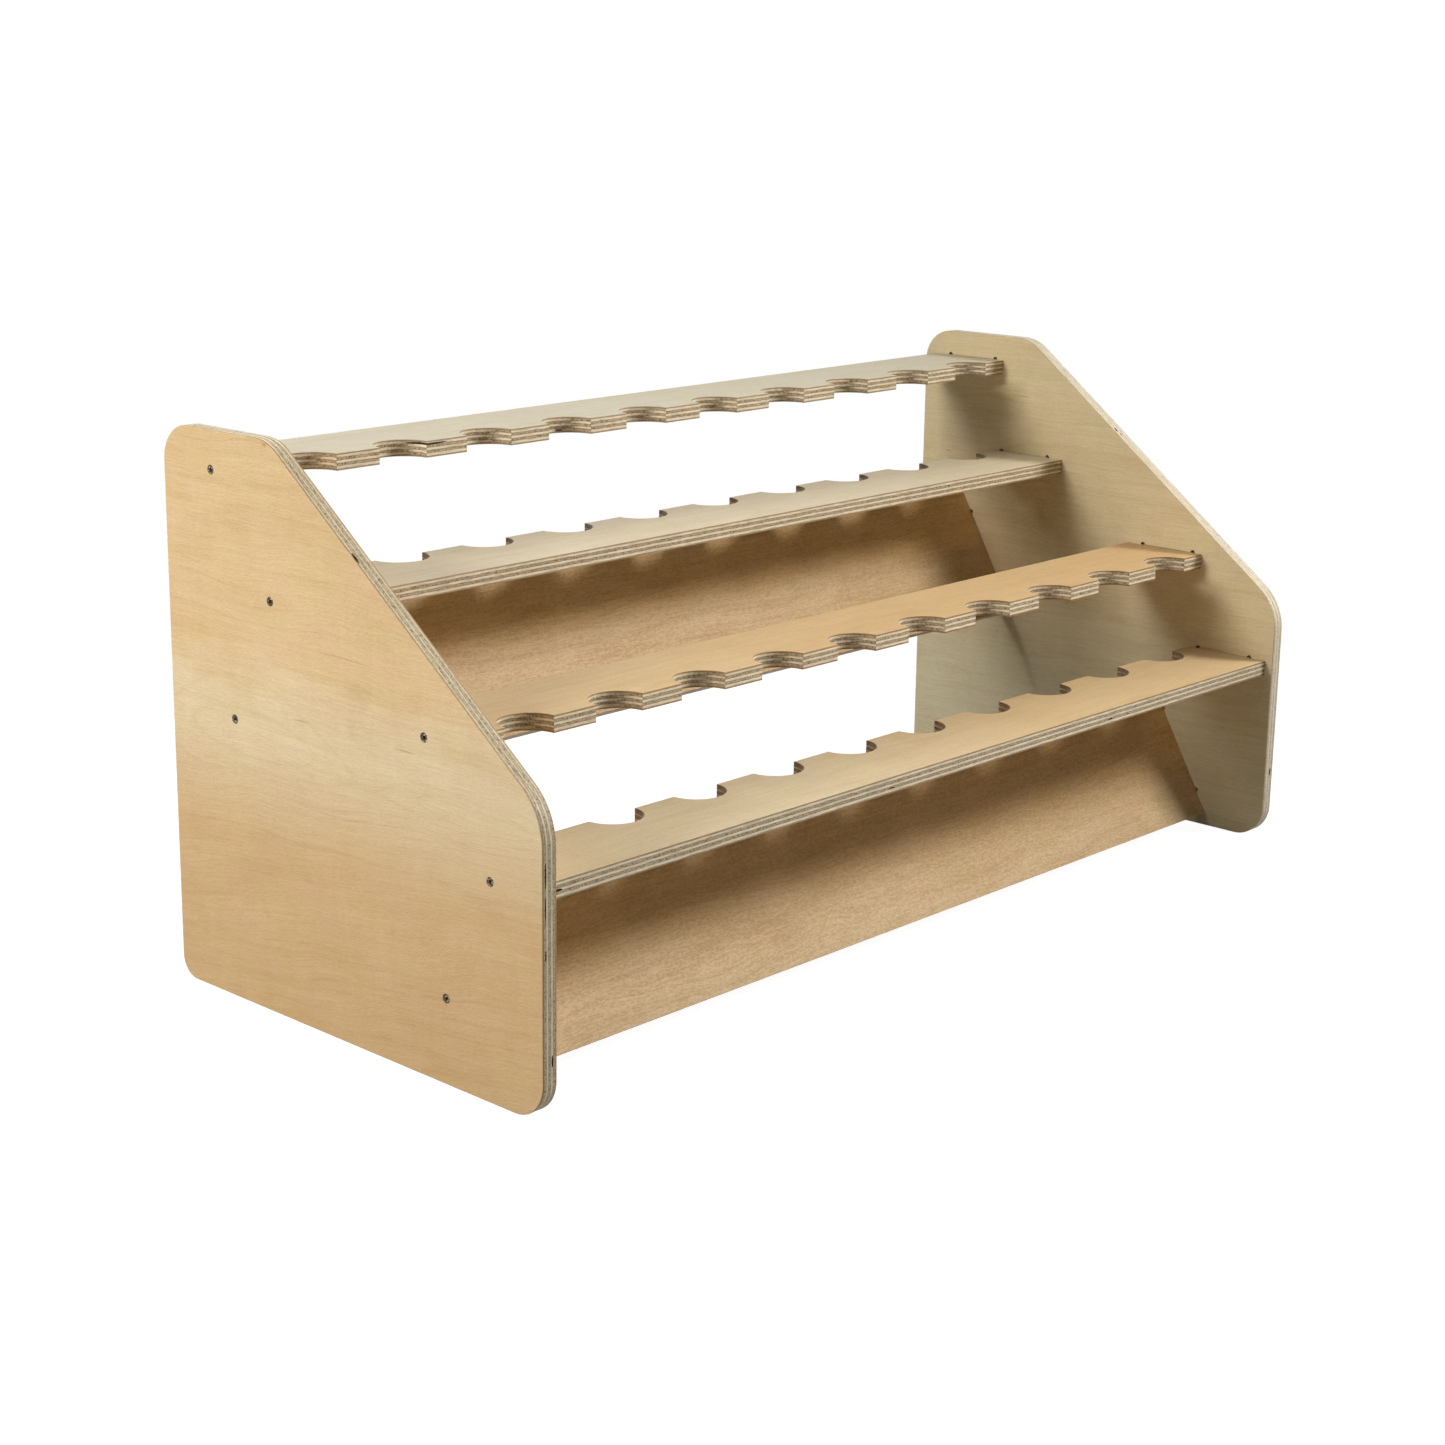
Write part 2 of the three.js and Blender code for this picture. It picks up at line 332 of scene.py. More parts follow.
def new_object(name, bm):
    """A mesh object at the origin, made from a bmesh."""
    mesh = bpy.data.meshes.new(name)
    bm.to_mesh(mesh)
    bm.free()
    piece = bpy.data.objects.new(name, mesh)
    bpy.context.scene.collection.objects.link(piece)
    return piece


def absorb(bm, part):
    """Adds one bmesh to another and frees it."""
    spare = bpy.data.meshes.new("part")
    part.to_mesh(spare)
    part.free()
    bm.from_mesh(spare)
    bpy.data.meshes.remove(spare)


def remove(piece):
    mesh = piece.data
    bpy.data.objects.remove(piece)
    bpy.data.meshes.remove(mesh)


def cut(piece, cutters):
    """Cuts each cutter out of a piece for good, and removes the cutters."""
    for cutter in cutters:
        modifier = piece.modifiers.new(cutter.name, "BOOLEAN")
        modifier.operation = "DIFFERENCE"
        modifier.solver = "EXACT"
        modifier.object = cutter
    evaluated = piece.evaluated_get(bpy.context.evaluated_depsgraph_get())
    result = bpy.data.meshes.new_from_object(evaluated)
    whole = piece.data
    piece.modifiers.clear()
    piece.data = result
    bpy.data.meshes.remove(whole)
    result.name = piece.name
    for cutter in cutters:
        remove(cutter)


def hand_over(piece, node):
    """Smooths a finished piece and lets it stand for its node."""
    mesh = piece.data
    mesh.polygons.foreach_set("use_smooth", [True] * len(mesh.polygons))
    mesh.set_sharp_from_angle(angle=SHARP_ANGLE)
    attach(piece, BODY)
    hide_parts(node)


class Graph:
    """Nodes of a material or world, laid by short calls. A value is a number, a tuple or a socket."""

    def __init__(self, owner):
        owner.use_nodes = True
        self.owner = owner
        self.tree = owner.node_tree
        self.tree.nodes.clear()

    def feed(self, socket, value):
        if isinstance(value, bpy.types.NodeSocket):
            self.tree.links.new(value, socket)
        elif isinstance(value, tuple) and len(value) < len(socket.default_value):
            socket.default_value = (*value, 1)
        else:
            socket.default_value = value

    def node(self, kind, inputs=None, **settings):
        """A shader node of a kind, with its inputs fed and its settings set."""
        made = self.tree.nodes.new(f"ShaderNode{kind}")
        for name, value in settings.items():
            setattr(made, name, value)
        for name, value in (inputs or {}).items():
            self.feed(made.inputs[name], value)
        return made

    def math(self, operation, *values, clamp=False):
        inputs = dict(enumerate(values))
        return self.node("Math", inputs, operation=operation, use_clamp=clamp).outputs[0]

    def times(self, first, second):
        return self.math("MULTIPLY", first, second)

    def vector(self, operation, *values):
        made = self.node("VectorMath", dict(enumerate(values)), operation=operation)
        return made.outputs["Value" if operation in ("LENGTH", "DOT_PRODUCT") else "Vector"]

    def facing(self, normal, axis):
        """How far a normal points along an axis."""
        return self.vector("DOT_PRODUCT", normal, tuple(axis))

    def sideways(self, amount):
        return self.node("CombineXYZ", {"Y": amount}).outputs["Vector"]

    def swing(self, value, amount):
        """Turns a value from 0 to 1 into half an amount to either side of 0."""
        return self.times(self.math("SUBTRACT", value, 0.5), amount)

    def noise(self, place, size, detail=2, roughness=0.5, distortion=0.0):
        """Noise from 0 to 1 with features of a size along, across and through."""
        inputs = {
            "Vector": self.vector("MULTIPLY", place, tuple(1 / length for length in size)),
            "Scale": 1.0,
            "Detail": float(detail),
            "Roughness": roughness,
            "Distortion": distortion,
        }
        return self.node("TexNoise", inputs).outputs["Fac"]

    def speckle(self, length, detail=2):
        """Noise on Object coordinates with features of one length."""
        place = self.node("TexCoord").outputs["Object"]
        return self.noise(place, (length,) * 3, detail)

    def fade(self, value, low, high, start=0.0, end=1.0):
        """Follows a value smoothly from start to end while it goes from low to high."""
        inputs = {"Value": value, "From Min": low, "From Max": high, "To Min": start, "To Max": end}
        made = self.node("MapRange", inputs, interpolation_type="SMOOTHSTEP", clamp=True)
        return made.outputs["Result"]

    def blend(self, factor, first, second, mode="MIX"):
        made = self.node("Mix", data_type="RGBA", blend_type=mode, clamp_factor=True)
        self.feed(made.inputs[0], factor)
        self.feed(made.inputs[6], first)
        self.feed(made.inputs[7], second)
        return made.outputs[2]

    def tint(self, first, second):
        """One colour multiplied by another."""
        return self.blend(1.0, first, second, "MULTIPLY")

    def ramp(self, value, stops):
        """Colours or greys at places from 0 to 1."""
        made = self.node("ValToRGB", {"Fac": value})
        elements = made.color_ramp.elements
        for _ in range(len(stops) - len(elements)):
            elements.new(0.5)
        for element, (position, tone) in zip(elements, stops):
            element.position = position
            element.color = (*(tone if isinstance(tone, tuple) else (tone,) * 3), 1)
        return made.outputs["Color"]

    def finish(self, shader, kind="OutputMaterial"):
        """Ends the graph in a shader and gives back what it belongs to."""
        self.feed(self.node(kind).inputs["Surface"], shader)
        return self.owner

    def surface(self, bump=None, **inputs):
        """Ends the graph in a shader. Its inputs are named with underscores for spaces."""
        named = {name.replace("_", " "): value for name, value in inputs.items()}
        shader = self.node("BsdfPrincipled", named)
        if bump is not None:
            height, distance = bump
            lifted = self.node("Bump", {"Height": height, "Distance": distance})
            self.feed(shader.inputs["Normal"], lifted.outputs["Normal"])
        return self.finish(shader.outputs["BSDF"])


# The five plies of the core lie between two thin face veneers. The second and fourth of them run
# across the face grain. Their places and blur, the glue lines' half width and the plies' sag are
# shares of the sheet's thickness.
PLY_BOUNDARY_SHARES = (0.088, 0.267, 0.428, 0.589, 0.75, 0.912)
CROSSED_PLY_SHARES = ((0.267, 0.428), (0.589, 0.75))
PLY_BLUR_SHARE = 0.008
GLUE_HALF_SHARE = 0.03
SAG_SHARE = 0.035
FACE_GLUE = 1.0
CORE_GLUE = 0.85

# Sizes of the figure's features in millimetres: along the grain, across it and through the sheet.
WANDER = (85, 38, 60)
FIBRE = (22, 0.9, 1.2)
BAND = (150, 5, 9)
CLOUD = (60, 30, 60)
CURL = (9, 26, 30)
GROWTH = (600, 46, 80)
PORE = (2.4, 0.8, 0.8)
BLUSH = (34, 16, 40)
# How far the grain wanders, how often the growth field turns, and how much of a piece's span the
# tones drift.
WANDER_REACH = 14
RING_TURNS = 16
DRIFT_SHARE = 0.1
FIBRE_LIFT = 0.6

# Sizes of what the cut edges show, measured in the same way.
RIPPLE = (9, 9, 9)
LONG_FIBRE = (9, 1.2, 0.8)
CROSS_FIBRE = (1.2, 9, 0.8)
TORN = (1.4, 1.4, 1.1)
PATCH = (26, 26, 3)
DASH = (3, 3, 3)

# Fades: a field's two ends and, where they aren't 0 and 1, the strengths there.
RING_FADE = (0.0, 0.3, 1.0, 0.0)
PORE_FADE = (0.36, 0.66, -0.4, 0.6)
BLUSH_FADE = (0.35, 0.65)
STREAK_RIM = (1.0, 0.2)
STREAK_GRAIN = (0.3, 0.6, 0.5, 1.0)
CUT_ACROSS = (0.45, 0.9)
BEHIND_EDGE = (0.8, 4.0)
SCORCH_AND_SHADE_FADE = (0.66, 0.98)
SCORCH_AND_SHADE_PLY_FADE = (0.0, 1.0, 0.24, 0.62)
TORN_FADE = (0.42, 0.56, 0.2, 1.0)
SPECK_FADE = (0.48, 0.62)
SPECK_ENDS = (0.0, 1.0, 0.35, 1.0)
PATCH_FADE = (0.35, 0.65, 0.0, 0.25)
DASH_FADE = (0.32, 0.55, 0.35, 0.95)
LEVEL_FADE = (0.8, 0.98)
RIM_FADE = (0.75, 0.25)
ROUGH_FADE = (0.0, 1.0, 0.62, 0.52)
PAINTED_GLINT_FADE = (0.57, 0.66)
STEEL_ROUGH = (0.3, 0.7, 0.3, 0.55)

# How far the figure lifts or lowers a veneer's tone, and what that tone is multiplied by.
FIGURE_MIDDLE = 0.4
FIGURE_PALE = (1.12, 1.14, 1.18)
FIGURE_DARK = (0.85, 0.76, 0.62)
BLUSH_YELLOW = (1.0, 1.01, 0.97)
BLUSH_ROSE = (1.008, 0.993, 1.005)
PATCH_TONE = (0.72, 0.64, 0.52)
# How much darker the face veneers are where they show on the cut edges and softened arrises.
RIM_TONE = (0.55, 0.46, 0.37)
SPECK_STRENGTH = 0.75
GRAIN_RELIEF = 0.05 * MM
STEEL_RELIEF = 0.03 * MM
# Painted shade inside the screws' recesses and the plies' voids, with paler specks.
RECESS_SHADE_SPECK = (0.05, 0.045, 0.04)
VOID_SHADE_DARK = (0.02, 0.013, 0.008)
VOID_SHADE_PALE = (0.15, 0.1, 0.06)

# The tones of each piece: along a slat from its left end in its own frame, and up a board or panel.
# They are partly the veneer's own tone and partly painted light and shade: the slats are painted
# paler towards the rack's left side, the foot boards warmer and more saturated towards their upper
# edges where the slats shade them, and the left panel darker towards its foot.
TONES = {
    "left_side_panel": (
        (0.3, "panel_foot"),
        (0.48, "panel_band"),
        (0.55, "panel_band"),
        (0.64, "panel_top"),
        (0.95, "panel_crown"),
    ),
    "right_side_panel": ((0.25, "inner_foot"), (0.45, "inner_veneer")),
    "upper_rear_slat": ((0.35, "upper_rear_near"), (1.0, "upper_rear_far")),
    "upper_front_slat": ((0.0, "upper_front_far"), (0.3, "upper_front_mid"), (0.7, "upper_front_near")),
    "lower_rear_slat": ((0.15, "lower_rear_near"), (0.5, "lower_rear_far")),
    "lower_front_slat": ((0.35, "lower_front_far"), (0.65, "lower_front_near")),
    "upper_foot_board": ((0.5, "upper_board_foot"), (0.65, "upper_board_head")),
    "lower_foot_board": ((0.0, "lower_board_foot"), (0.3, "lower_board_middle"), (0.5, "lower_board_head")),
}

# Mineral streaks in the panels' veneer, forward and up in millimetres, and the closed growth rings
# in the left one's.
Streak = namedtuple("Streak", "along across length width strength")
STREAKS = {
    "left": (
        Streak(106, 162, 18, 1.2, 0.5),
        Streak(140, 198.5, 60, 1.4, 0.25),
        Streak(185, 160.5, 22, 1.6, 0.55),
        Streak(84, 294.5, 5, 3.0, 0.6),
        Streak(150, 120, 90, 2.0, 0.18),
        Streak(57, 256, 46, 16, 0.14),
        Streak(150, 182, 40, 16, 0.12),
    ),
    "right": (Streak(83, 260.3, 14, 0.9, 0.6), Streak(21.5, 218, 8, 1.2, 0.7)),
}
EYES = {"left": (Streak(62, 150, 210, 64, 0.3), Streak(238, 138, 150, 44, 0.22)), "right": ()}
# Below the first height the grain rises forwards by the whole slant, above the second not at all.
SLANT_SPAN = (70.0, 170.0)
SLANTS = {"left": 0.15, "right": 0.0}
# Painted shade and light on the cut edges: the left panel's are painted darker and browner than the right
# one's, which are painted a little bluer. The left one's plies are also more marked.
PAINTED_EDGE_LIGHTING = {"left": (0.8, 0.8, 0.77), "right": (0.97, 1.01, 1.09)}
EDGE_CONTRASTS = {"left": 0.95, "right": 0.6}
# Painted light and shade on the level top edges: the left panel's are painted paler and bluer than its
# other edges, the right one's a little darker.
PAINTED_TOP_EDGE_LIGHTING = {"left": (1.24, 1.28, 1.36), "right": (0.95, 0.95, 0.95)}
# Each piece takes its figure from another place in the noise, and each further crosspiece moves on.
PANEL_SHIFTS = {"left": (0.0, 0.0, 0.0), "right": (420.0, 310.0, 0.0)}
SLAT_SHIFT = (190.0, 75.0, 0.0)
BOARD_SHIFT = (230.0, 95.0, 0.0)
# Which way a notch's wall faces where it turns darkest, in a slat's own frame. The darkening is partly
# the cutter's scorch and partly painted shade, deep in the notch and on walls turned from the lamps.
REAR_SCORCH_AND_SHADE = (-0.38, -0.92)
FRONT_SCORCH_AND_SHADE = (0.7, -0.7)

# How strongly each of the figure's fields shows.
Figure = namedtuple("Figure", "fibre bands curl fleck rings")
PANEL_FIGURE = Figure(1.0, 0.5, 0.25, 0.2, 0.13)
SLAT_FIGURE = Figure(0.9, 0.4, 0.2, 0.15, 0.12)
BOARD_FIGURE = Figure(1.6, 0.8, 0.3, 0.65, 0.2)

Look = namedtuple(
    "Look",
    "node axis span shift plies figure streaks contrast burn crown eyes slant",
    defaults=((), 1.0, (0.0, 0.0), (1.0, 1.0, 1.0), (), 0.0),
)


def sheet_place(graph, sheet):
    """Millimetres along the face grain, across it and up from the middle of the sheet."""
    coordinates = graph.node("TexCoord")
    inputs = {
        "Vector": coordinates.outputs["Object"],
        "Location": tuple(sheet.translation),
        "Rotation": tuple(sheet.to_euler()),
        "Scale": (MM, MM, MM),
    }
    mapped = graph.node("Mapping", inputs, vector_type="TEXTURE")
    return mapped.outputs["Vector"], coordinates.outputs["Normal"]


def streak_mask(graph, place, streak):
    """A thin patch that fades towards its rim."""
    offset = graph.vector("SUBTRACT", place, (streak.along, streak.across, 0.0))
    shares = graph.vector("MULTIPLY", offset, (2 / streak.length, 2 / streak.width, 0.0))
    return graph.fade(graph.vector("LENGTH", shares), *STREAK_RIM, 0.0, streak.strength)


def veneer(graph, place, look):
    """The figured face: soft bands, fine fibres, curl, growth lines, flecks and named streaks."""
    moved = graph.vector("ADD", place, look.shift)
    sway = graph.swing(graph.noise(moved, WANDER, detail=1), WANDER_REACH)
    split = graph.node("SeparateXYZ", {"Vector": place})
    slant = graph.fade(split.outputs["Y"], *SLANT_SPAN, -look.slant, 0.0)
    aside = graph.math("ADD", sway, graph.times(slant, split.outputs["X"]))
    swayed = graph.vector("ADD", moved, graph.sideways(aside))
    fibre = graph.noise(swayed, FIBRE, detail=3, roughness=0.7)
    band = graph.noise(swayed, BAND, detail=3, roughness=0.55)
    cloud = graph.noise(moved, CLOUD, detail=3)
    curl = graph.noise(moved, CURL, distortion=0.8)
    growth = graph.noise(swayed, GROWTH, detail=1)
    for eye in look.eyes:
        growth = graph.math("ADD", growth, streak_mask(graph, place, eye))
    rings = graph.math("PINGPONG", graph.times(growth, RING_TURNS), 1)
    ring_line = graph.fade(rings, *RING_FADE)
    pore_mark = graph.fade(graph.noise(swayed, PORE, roughness=0.7), *PORE_FADE)

    low, high = look.span
    spot = graph.math("ADD", split.outputs[look.axis], graph.swing(cloud, (high - low) * DRIFT_SHARE))
    share = graph.math("DIVIDE", graph.math("SUBTRACT", spot, low), high - low, clamp=True)
    tone = graph.ramp(share, [(at, shade(name)) for at, name in TONES[look.node]])

    strong = look.figure
    depth = graph.swing(fibre, strong.fibre)
    for field, amount in ((band, strong.bands), (curl, strong.curl), (cloud, strong.bands)):
        depth = graph.math("ADD", depth, graph.swing(field, amount))
    for mark, amount in ((ring_line, strong.rings), (pore_mark, strong.fleck)):
        depth = graph.math("ADD", depth, graph.times(mark, amount))
    figure = graph.blend(graph.math("ADD", depth, FIGURE_MIDDLE, clamp=True), FIGURE_PALE, FIGURE_DARK)
    blush = graph.fade(graph.noise(moved, BLUSH), *BLUSH_FADE)
    face = graph.tint(graph.tint(tone, figure), graph.blend(blush, BLUSH_YELLOW, BLUSH_ROSE))
    wavy = graph.vector("ADD", place, graph.sideways(sway))
    for streak in look.streaks:
        mask = streak_mask(graph, wavy, streak)
        grained = graph.times(mask, graph.fade(fibre, *STREAK_GRAIN))
        face = graph.blend(grained, face, shade("streak"))
    return face, graph.math("SUBTRACT", graph.times(fibre, FIBRE_LIFT), pore_mark)


def steps_in(shares):
    """Ramp stops that are 1 within each pair of shares and 0 elsewhere."""
    blur = PLY_BLUR_SHARE
    stops = []
    for low, high in shares:
        stops += [(low - blur, 0.0), (low + blur, 1.0), (high - blur, 1.0), (high + blur, 0.0)]
    return stops


def glue_stops():
    """Ramp stops that peak at each glue line, highest under the face veneers."""
    stops = []
    for share in PLY_BOUNDARY_SHARES:
        outer = share in (PLY_BOUNDARY_SHARES[0], PLY_BOUNDARY_SHARES[-1])
        peak = FACE_GLUE if outer else CORE_GLUE
        stops += [(share - GLUE_HALF_SHARE, 0.0), (share, peak), (share + GLUE_HALF_SHARE, 0.0)]
    return stops


def core_plies(graph, place, normal, turn, look):
    """The plies as any cut shows them: dark and speckled where it crosses a ply's fibres."""
    moved = graph.vector("ADD", place, look.shift)
    split = graph.node("SeparateXYZ", {"Vector": place})
    share = graph.math("DIVIDE", split.outputs["Z"], sheet_thickness() / MM)
    sag = graph.swing(graph.noise(moved, RIPPLE), SAG_SHARE)
    depth = graph.math("ADD", graph.math("ADD", share, 0.5), sag)
    crossed = graph.ramp(depth, steps_in(CROSSED_PLY_SHARES))
    glue = graph.ramp(depth, glue_stops())

    along, across = (graph.math("ABSOLUTE", graph.facing(normal, turn.col[i])) for i in range(2))
    end = graph.fade(graph.blend(crossed, along, across), *CUT_ACROSS)
    # Walls facing one way, deep behind the notched edge, darken: scorch together with painted shade.
    scorched_and_shaded = graph.fade(graph.facing(normal, turn @ Vector((*look.burn, 0))), *SCORCH_AND_SHADE_FADE)
    burn = graph.times(scorched_and_shaded, graph.fade(split.outputs["Y"], *BEHIND_EDGE))
    long_fibre = graph.noise(moved, LONG_FIBRE, roughness=0.65)
    cross_fibre = graph.noise(moved, CROSS_FIBRE, roughness=0.65)
    fibre = graph.blend(crossed, long_fibre, cross_fibre)
    speck = graph.times(graph.fade(fibre, *SPECK_FADE), graph.fade(end, *SPECK_ENDS))

    wood = graph.blend(graph.times(end, look.contrast), *look.plies)
    patch = graph.fade(graph.noise(moved, PATCH, detail=1), *PATCH_FADE)
    toned = graph.blend(patch, wood, PATCH_TONE, "MULTIPLY")
    speck_strength = graph.times(speck, SPECK_STRENGTH * look.contrast)
    specked = graph.blend(speck_strength, toned, shade("glue_line"))
    broken = graph.times(glue, graph.fade(graph.noise(moved, DASH), *DASH_FADE))
    lined = graph.blend(graph.times(broken, look.contrast), specked, shade("glue_line"))
    scorch_and_shade_amount = graph.times(burn, graph.fade(crossed, *SCORCH_AND_SHADE_PLY_FADE))
    torn = graph.fade(graph.noise(moved, TORN, detail=3, roughness=0.7), *TORN_FADE)
    scorch_and_shade_tinted = graph.blend(graph.times(scorch_and_shade_amount, torn), lined, shade("burn"))
    # Level top edges are tinted with the panel's painted light and shade.
    level = graph.fade(graph.facing(normal, (0.0, 0.0, 1.0)), *LEVEL_FADE)
    top_edges_painted = graph.blend(level, scorch_and_shade_tinted, graph.tint(scorch_and_shade_tinted, look.crown))
    return top_edges_painted, depth, graph.math("SUBTRACT", 1.0, speck)


def plywood(name, sheet, look):
    """Plywood all through: figured veneer at both faces and the plies between them."""
    graph = Graph(bpy.data.materials.new(name))
    turn = sheet.to_3x3()
    place, normal = sheet_place(graph, sheet)
    face, face_height = veneer(graph, place, look)
    core, depth, core_height = core_plies(graph, place, normal, turn, look)
    inside = graph.ramp(depth, steps_in(((PLY_BOUNDARY_SHARES[0], PLY_BOUNDARY_SHARES[-1]),)))
    upright = graph.math("ABSOLUTE", graph.facing(normal, turn.col[2]))
    edged = graph.blend(graph.fade(upright, *RIM_FADE), face, graph.tint(face, RIM_TONE))
    height = graph.blend(inside, face_height, core_height)
    return graph.surface(
        bump=(height, GRAIN_RELIEF),
        Base_Color=graph.blend(inside, edged, core),
        Roughness=graph.fade(height, *ROUGH_FADE),
        Specular_IOR_Level=0.35,
    )


def panel_look(side):
    """Veneer of a side panel, with its tones from the ground up."""
    node = f"{side}_side_panel"
    low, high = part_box(node)
    grains = (shade("panel_side_grain"), shade("panel_end_grain"))
    return Look(
        node=node,
        axis="Y",
        span=(0.0, (high.z - low.z) / MM),
        shift=PANEL_SHIFTS[side],
        # The cut edges' plies carry the panel's painted edge light and shade.
        plies=tuple(tuple(a * b for a, b in zip(grain, PAINTED_EDGE_LIGHTING[side])) for grain in grains),
        figure=PANEL_FIGURE,
        streaks=STREAKS[side],
        contrast=EDGE_CONTRASTS[side],
        crown=PAINTED_TOP_EDGE_LIGHTING[side],
        eyes=EYES[side],
        slant=SLANTS[side],
    )


def cross_look(node, axis, length, shift, figure, burn=(0.0, 0.0)):
    """Veneer of a slat or foot board, whose tones change over a length along one axis."""
    half = length / 2 / MM
    moved = tuple(Vector(shift) * (CROSSPIECES.index(node) + 1))
    grains = (shade("side_grain"), shade("end_grain"))
    return Look(node, axis, (-half, half), moved, grains, figure, burn=burn)


def slat_look(node):
    """Veneer of a slat, with its tones along it."""
    low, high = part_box(node)
    burn = REAR_SCORCH_AND_SHADE if "rear" in node else FRONT_SCORCH_AND_SHADE
    return cross_look(node, "X", high.x - low.x, SLAT_SHIFT, SLAT_FIGURE, burn)


def board_look(node):
    """Veneer of a foot board, with its tones up its slope."""
    width = bpy.context.scene.rack_sizes.board_width
    return cross_look(node, "Y", width, BOARD_SHIFT, BOARD_FIGURE)


def steel_material():
    """Dark screw steel with painted glints: pale spots in its colour stand for highlights."""
    graph = Graph(bpy.data.materials.new("screw_steel"))
    glint_and_relief_noise = graph.speckle(MM, detail=3)
    return graph.surface(
        bump=(glint_and_relief_noise, STEEL_RELIEF),
        Base_Color=graph.blend(graph.fade(glint_and_relief_noise, *PAINTED_GLINT_FADE), shade("steel"), shade("painted_glint")),
        Roughness=graph.fade(glint_and_relief_noise, *STEEL_ROUGH),
        Metallic=0.85,
    )


def recess_shade_material():
    """Painted shade inside a screw's cross recess, near black with paler specks."""
    graph = Graph(bpy.data.materials.new("screw_recess"))
    toned = graph.blend(graph.speckle(MM / 2), shade("recess"), RECESS_SHADE_SPECK)
    return graph.surface(Base_Color=toned, Roughness=0.7, Metallic=0.3)


def void_shade_material():
    """Painted shade inside an open void between plies."""
    graph = Graph(bpy.data.materials.new("edge_void"))
    return graph.surface(Base_Color=graph.blend(graph.speckle(MM), VOID_SHADE_DARK, VOID_SHADE_PALE), Roughness=0.9)


def clad(piece, name, sheet, look):
    """Gives a piece its plywood, and the painted shade that lines the voids its cutters leave."""
    piece.data.materials.append(plywood(name, sheet, look))
    piece.data.materials.append(void_shade_material())


def tenon_sizes(node):
    """A crosspiece's tenon middle and width, measured across the piece in its own frame."""
    sizes = bpy.context.scene.rack_sizes
    if "board" in node:
        return 0.0, sizes.board_width - 2 * sizes.board_shoulder
    low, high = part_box(node)
    width = high.y - low.y - sizes.slat_notch_shoulder - sizes.slat_plain_shoulder
    return sizes.slat_notch_shoulder + width / 2, width


def crosspiece_sheet(node):
    return board_sheet(node) if "board" in node else slat_sheet(node)


def crosspiece_stations(node, low_edge, high_edge, notches):
    """The outline of a slat or foot board: notched edge, tenon, plain edge, tenon."""
    sizes = bpy.context.scene.rack_sizes
    end, tip = inner_face("right"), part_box(node)[1].x
    tenon_middle, tenon_width = tenon_sizes(node)
    tenon_low, tenon_high = tenon_middle - tenon_width / 2, tenon_middle + tenon_width / 2
    radius = sizes.notch_radius
    pitch = 2 * (end - sizes.notch_end) / (sizes.notch_count - 1)
    stations = [Station((-end, low_edge))]
    for index in range(notches):
        centre = sizes.notch_end - end + index * pitch
        stations.append(Station((centre - radius, low_edge), (centre, low_edge), -math.pi))
    right = [(end, tenon_low), (tip, tenon_low), (tip, tenon_high), (end, tenon_high)]
    left = [(-x, y) for x, y in reversed(right)]
    corners = [(end, low_edge), *right, (end, high_edge), (-end, high_edge), *left]
    return stations + [Station(corner) for corner in corners]


def pilot_holes(node):
    """Cutters for the two screw holes in a crosspiece's ends."""
    sizes = bpy.context.scene.rack_sizes
    radius = sizes.screw_radius + sizes.screw_clearance
    bm = bmesh.new()
    for side, outward in SIDES.items():
        screw = f"{node}_{side}_screw"
        low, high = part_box(screw)
        tip = (low if outward > 0 else high).x - outward * sizes.screw_clearance
        mouth = outer_face(side)
        centre = middle(screw)
        place = Matrix.Translation(((tip + mouth) / 2, centre.y, centre.z))
        place @= Matrix.Rotation(QUARTER_TURN, 4, "Y")
        sizing = {"radius1": radius, "radius2": radius, "depth": abs(mouth - tip)}
        bmesh.ops.create_cone(bm, cap_ends=True, segments=HOLE_SEGMENTS, matrix=place, **sizing)
    return new_object("pilot_holes", bm)


def pocket(name, sheet, places):
    """Cutters for small voids: squashed balls at places in a sheet's frame."""
    bm = bmesh.new()
    for at, radii in places:
        stretch = Matrix.Diagonal((*(radius * MM for radius in radii), 1))
        shape = sheet @ Matrix.Translation(Vector(at) * MM) @ stretch
        bmesh.ops.create_icosphere(bm, subdivisions=3, radius=1, matrix=shape)
    # The pockets' faces take the second slot, the voids' painted shade.
    for face in bm.faces:
        face.material_index = 1
    return new_object(name, bm)


# Voids and a lifted ply in the edges, each a place and three half sizes in millimetres in the
# frame of its sheet.
EDGE_VOIDS = {
    "left_side_panel": (
        ((150.2, 249.0, 3.1), (3.8, 3.4, 0.6)),
        ((280.0, 121.0, 2.5), (8.0, 6.5, 0.45)),
        ((280.0, 105.0, 2.6), (8.0, 6.0, 0.4)),
        ((280.0, 82.5, 2.4), (6.0, 2.8, 0.45)),
        ((280.0, 30.0, -1.6), (5.0, 3.0, 0.5)),
    ),
    "right_side_panel": (
        ((280.0, 42.8, -1.4), (5.0, 2.6, 0.6)),
        ((154.2, 246.1, 1.6), (2.0, 1.8, 0.55)),
        ((157.5, 243.6, 0.9), (1.6, 1.4, 0.45)),
    ),
    "upper_rear_slat": (
        ((-194.5, 1.0, 2.75), (13.5, 12.0, 0.5)),
        ((-85.4, 16.0, -2.9), (2.4, 4.0, 0.5)),
    ),
    "upper_front_slat": (((-188.1, 55.4, 1.6), (0.8, 1.2, 0.4)),),
    "lower_front_slat": (
        ((302.0, 55.4, -0.3), (2.8, 3.0, 0.65)),
        ((-140.0, 55.4, -1.5), (2.6, 3.0, 0.4)),
        ((60.0, 55.4, -1.5), (2.0, 3.0, 0.4)),
    ),
}


